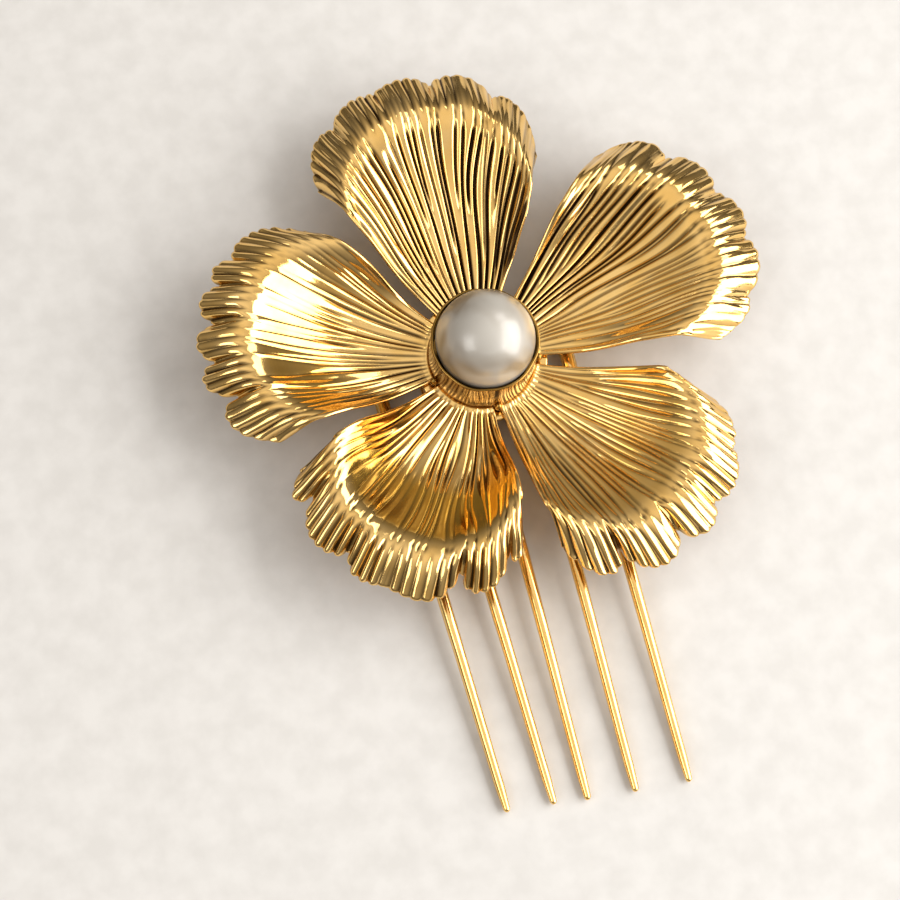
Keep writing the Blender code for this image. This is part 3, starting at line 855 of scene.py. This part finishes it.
def gold(name, deep, bright, roughness, peel, painted_shade=None):
    """Gold plate: cloudy colour, uneven polish, fine rubbing marks and a faint orange-peel ripple. Given a
    groove colour, it also gets painted shade in the grooves and a painted reflection: a deeper amber band
    below the crest.
    """
    material, nodes, links, shader = new_material(name)
    coordinates = nodes.new("ShaderNodeTexCoord")
    cloud = noise(nodes, links, coordinates, CLOUD_SCALE, 4.0)
    colour = ramp(nodes, links, cloud.outputs["Fac"], deep, bright)
    shader.inputs["Metallic"].default_value = 1.0
    smear = noise(nodes, links, coordinates, SMEAR_SCALE, 5.0)
    polish = span(nodes, links, smear.outputs["Fac"], *roughness)
    if painted_shade is None:
        links.new(colour.outputs["Color"], shader.inputs["Base Color"])
        links.new(polish.outputs["Result"], shader.inputs["Roughness"])
    else:
        darken_grooves(nodes, links, shader, colour.outputs["Color"], polish.outputs["Result"], painted_shade)
    ripples = noise(nodes, links, coordinates, PEEL_SCALE, 3.0)
    marks = noise(nodes, links, coordinates, MARK_SCALE, 2.0, MARK_STRETCH)
    peel_bump = add_bump(nodes, links, ripples, peel)
    marks_bump = add_bump(nodes, links, marks, MARK_DEPTH, MARK_STRENGTH)
    links.new(peel_bump.outputs["Normal"], marks_bump.inputs["Normal"])
    links.new(marks_bump.outputs["Normal"], shader.inputs["Normal"])
    return material


def darken_grooves(nodes, links, shader, colour, polish, painted_shade):
    """Painted shade: dark, duller metal where the sheet's groove attribute says; and a painted reflection:
    deeper amber gold where the band below the crest says.
    """
    groove = nodes.new("ShaderNodeAttribute")
    groove.attribute_name = "groove"
    reflected_amber = nodes.new("ShaderNodeAttribute")
    reflected_amber.attribute_name = "painted_amber_reflection"
    # Painted reflection: deeper amber gold in the band below the crest.
    deepen = nodes.new("ShaderNodeMix")
    deepen.data_type = "RGBA"
    deepen.inputs["B"].default_value = (*AMBER_REFLECTION_GOLD, 1.0)
    links.new(reflected_amber.outputs["Fac"], deepen.inputs["Factor"])
    links.new(colour, deepen.inputs["A"])
    # Painted shade: near-black colour in the grooves.
    shade_band = nodes.new("ShaderNodeMix")
    shade_band.data_type = "RGBA"
    shade_band.inputs["B"].default_value = (*painted_shade, 1.0)
    links.new(groove.outputs["Fac"], shade_band.inputs["Factor"])
    links.new(deepen.outputs["Result"], shade_band.inputs["A"])
    links.new(shade_band.outputs["Result"], shader.inputs["Base Color"])
    dull = nodes.new("ShaderNodeMath")
    dull.operation = "MULTIPLY_ADD"
    dull.inputs[1].default_value = PAINTED_GROOVE_SHADE_DULLNESS
    links.new(groove.outputs["Fac"], dull.inputs[0])
    links.new(polish, dull.inputs[2])
    links.new(dull.outputs["Value"], shader.inputs["Roughness"])


def nacre(name):
    """Pearl: cloudy cream and grey body under a soft gloss."""
    material, nodes, links, shader = new_material(name)
    coordinates = nodes.new("ShaderNodeTexCoord")
    cloud = noise(nodes, links, coordinates, NACRE_CLOUD_SCALE, 1.5)
    cloud.inputs["Distortion"].default_value = 0.8
    colour = ramp(nodes, links, cloud.outputs["Fac"], NACRE_DARK, NACRE_LIGHT, *NACRE_EDGES)
    links.new(colour.outputs["Color"], shader.inputs["Base Color"])
    shader.inputs["Metallic"].default_value = 0.12
    shader.inputs["IOR"].default_value = 1.65
    shader.inputs["Coat Weight"].default_value = 0.38
    shader.inputs["Coat Roughness"].default_value = 0.16
    layers = noise(nodes, links, coordinates, NACRE_LAYER_SCALE, 4.0)
    polish = span(nodes, links, layers.outputs["Fac"], *NACRE_ROUGHNESS)
    links.new(polish.outputs["Result"], shader.inputs["Roughness"])
    bump = add_bump(nodes, links, layers, 0.002 * MM)
    links.new(bump.outputs["Normal"], shader.inputs["Normal"])
    return material


def floor_material():
    """Pale, matt and faintly mottled."""
    material, nodes, links, shader = new_material("pale_board")
    coordinates = nodes.new("ShaderNodeTexCoord")
    grain = noise(nodes, links, coordinates, FLOOR_SCALE, 4.0)
    colour = ramp(nodes, links, grain.outputs["Fac"], FLOOR_DARK, FLOOR_LIGHT)
    links.new(colour.outputs["Color"], shader.inputs["Base Color"])
    shader.inputs["Roughness"].default_value = FLOOR_ROUGHNESS
    return material


# ---------------------------------------------------------------- stage, light and camera


def view_axes():
    """Right, up and towards-the-camera directions of the main view."""
    tilt = math.radians(VIEW_TILT)
    toward = compass(VIEW_AZIMUTH) * math.sin(tilt) + Vector((0.0, 0.0, math.cos(tilt)))
    up = compass(IMAGE_UP)
    up = (up - toward * up.dot(toward)).normalized()
    return up.cross(toward), up, toward


def add_camera():
    """The camera of the main view."""
    right, up, toward = view_axes()
    data = bpy.data.cameras.new("camera")
    data.lens = LENS
    data.sensor_width = SENSOR_WIDTH
    data.clip_start = 0.01
    data.clip_end = 20.0
    camera = bpy.data.objects.new("camera", data)
    place = Matrix((right, up, toward)).transposed().to_4x4()
    place.translation = VIEW_TARGET + toward * VIEW_DISTANCE
    camera.matrix_world = place
    bpy.context.scene.collection.objects.link(camera)
    bpy.context.scene.camera = camera


def add_softbox(name, to_right, to_up, distance, size, radiance):
    """Area light seen from the flower at these angles, in degrees, from the view axis."""
    right, up, toward = view_axes()
    direction = Matrix.Rotation(math.radians(to_right), 3, up) @ toward
    direction = Matrix.Rotation(math.radians(-to_up), 3, right) @ direction
    data = bpy.data.lights.new(name, "AREA")
    data.shape = "RECTANGLE"
    data.size, data.size_y = size
    data.energy = radiance * math.pi * size[0] * size[1]
    light = bpy.data.objects.new(name, data)
    centre = FLOWER + Vector((0.0, 0.0, LIT_HEIGHT))
    side = up.cross(direction).normalized()
    place = Matrix((side, direction.cross(side), direction)).transposed().to_4x4()
    place.translation = centre + direction * distance
    light.matrix_world = place
    bpy.context.scene.collection.objects.link(light)


def set_world():
    """Soft room: dim near the horizon, brighter overhead; the background itself shows pale."""
    world = bpy.data.worlds.new("soft_room")
    world.use_nodes = True
    bpy.context.scene.world = world
    nodes, links = world.node_tree.nodes, world.node_tree.links
    background = nodes["Background"]
    coordinates = nodes.new("ShaderNodeTexCoord")
    split = nodes.new("ShaderNodeSeparateXYZ")
    links.new(coordinates.outputs["Generated"], split.inputs["Vector"])
    room = nodes.new("ShaderNodeValToRGB")
    for place, level in ROOM_LEVELS:
        stop = room.color_ramp.elements.new(place)
        stop.color = (*(level * share for share in ROOM_TINT), 1.0)
    room.color_ramp.elements.remove(room.color_ramp.elements[-1])
    room.color_ramp.elements.remove(room.color_ramp.elements[0])
    links.new(split.outputs["Z"], room.inputs["Fac"])
    seen = nodes.new("ShaderNodeLightPath")
    mix = nodes.new("ShaderNodeMix")
    mix.data_type = "RGBA"
    links.new(seen.outputs["Is Camera Ray"], mix.inputs["Factor"])
    links.new(room.outputs["Color"], mix.inputs["A"])
    mix.inputs["B"].default_value = (*BACKDROP, 1.0)
    links.new(mix.outputs["Result"], background.inputs["Color"])
    background.inputs["Strength"].default_value = 1.0


def add_floor():
    """Plain floor just below the lowest point."""
    place = (FLOWER.x, FLOWER.y, CAD_BOX[0][2] - FLOOR_GAP)
    bpy.ops.mesh.primitive_plane_add(size=FLOOR_SIZE, location=place)
    floor = bpy.context.object
    floor.name = "floor"
    floor.data.materials.append(floor_material())


# ---------------------------------------------------------------- build


# The petals' gold carries the painted shade in the grooves and the painted reflection below the crest.
petal_gold = gold("petal_gold", **PETAL_GOLD, painted_shade=PAINTED_GROOVE_SHADE)
comb_gold = gold("comb_gold", **COMB_GOLD)
cup_gold = gold("cup_gold", **CUP_SHADED_GOLD)
pearl_nacre = nacre("pearl_nacre")

for petal in PETALS:
    petal_shell(petal, petal_gold)
make_bezel(cup_gold)
make_pearl(pearl_nacre)
make_disc(comb_gold)
for index in range(TEETH):
    make_tooth(index, comb_gold)
make_spine(comb_gold)
dress_peg(comb_gold)

add_floor()
set_world()
for light in LIGHTS:
    add_softbox(*light)
add_camera()
bpy.context.scene.view_settings.view_transform = "Standard"
